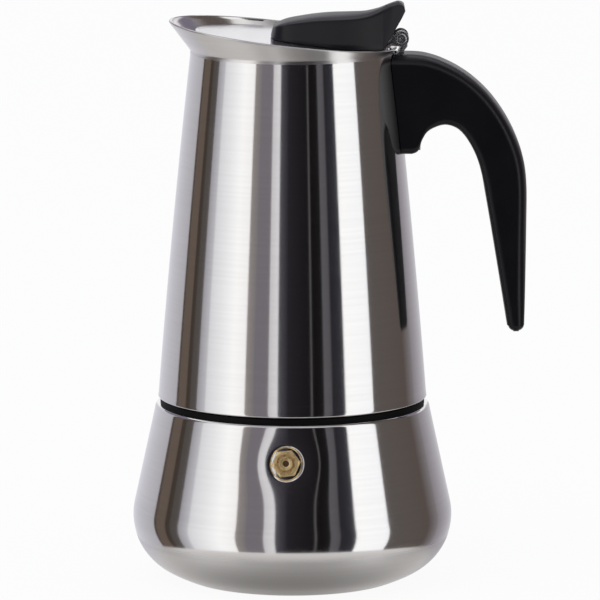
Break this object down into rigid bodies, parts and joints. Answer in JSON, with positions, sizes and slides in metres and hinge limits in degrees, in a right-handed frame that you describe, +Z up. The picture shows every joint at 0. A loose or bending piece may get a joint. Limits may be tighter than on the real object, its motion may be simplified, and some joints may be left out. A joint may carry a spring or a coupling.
{
  "type": "moka pot",
  "caption": "Stove-top moka pot in polished steel: a round-bellied boiler, a tapering upper chamber with a pouring lip, a hinged lid with a black knob, and an arched black handle.",
  "frame": {"origin": "centre of the flat foot, on the surface that the pot stands on", "axes": "+Z up along the pot's axis, +X towards the handle, -X towards the spout, the safety valve on the -Y side"},
  "size_m": [0.1278, 0.104, 0.1886],
  "materials": {
    "polished_steel": "polished with fine turning lines",
    "satin_steel": "satin",
    "lid_steel": "fine satin",
    "bright_fixings": "bright",
    "black_plastic": "moulded, satin",
    "brass": "turned",
    "spring_steel": "drawn wire",
    "black_silicone": "matt",
    "white_silicone": "matt"
  },
  "bodies": {
    "boiler": {"boiler_shell": "polished_steel", "seam_seal": "black_silicone", "valve_body": "brass", "valve_seat_plug": "brass", "valve_washer": "brass", "valve_nut": "brass", "valve_spring": "spring_steel"},
    "valve_plunger": {"valve_plunger": "brass"},
    "funnel": {"funnel_basket": "satin_steel", "funnel_screen": "satin_steel", "funnel_stem": "satin_steel"},
    "seal_pack": {"gasket": "white_silicone", "filter_plate": "satin_steel"},
    "upper_chamber": {"upper_shell": "polished_steel", "threaded_ring": "satin_steel", "chamber_floor": "satin_steel", "riser_tube": "satin_steel", "riser_cap": "satin_steel", "pouring_collar": "satin_steel", "hinge_strap": "satin_steel", "handle_grip": "black_plastic", "handle_bracket": "satin_steel", "handle_screw": "bright_fixings", "handle_screw_washer": "bright_fixings"},
    "lid": {"lid_disc": "lid_steel", "lid_knob": "black_plastic", "knob_screw_front": "bright_fixings", "knob_screw_back": "bright_fixings", "knob_washer_front": "bright_fixings", "knob_washer_back": "bright_fixings", "hinge_leaf": "satin_steel", "hinge_pin": "bright_fixings"}
  },
  "joints": [
    {"name": "upper_lift", "type": "slide", "parent": "boiler", "child": "seal_pack", "axis": [0, 0, 1], "range_m": [0, 0.009]},
    {"name": "upper_unscrew", "type": "hinge", "parent": "seal_pack", "child": "upper_chamber", "pos_m": [0, 0, 0], "axis": [0, 0, 1], "range_deg": [0, 1080]},
    {"name": "funnel_lift", "type": "slide", "parent": "boiler", "child": "funnel", "axis": [0, 0, 1], "range_m": [0, 0.0045]},
    {"name": "lid_hinge", "type": "hinge", "parent": "upper_chamber", "child": "lid", "pos_m": [0.0351, 0, 0.1766], "axis": [0, 1, 0], "range_deg": [0, 105]},
    {"name": "valve_lift", "type": "slide", "parent": "boiler", "child": "valve_plunger", "axis": [-0.0409, -0.9762, 0.213], "range_m": [0, 0.001], "stiffness_N_per_m": 800, "springref_m": -0.00125, "deforming": ["valve_spring"]}
  ],
  "couplings": [
    {"joint": "upper_lift", "follows": "upper_unscrew", "m_per_rad": 0.00047746},
    {"joint": "funnel_lift", "follows": "upper_unscrew", "m_per_rad": 0.00023873}
  ]
}
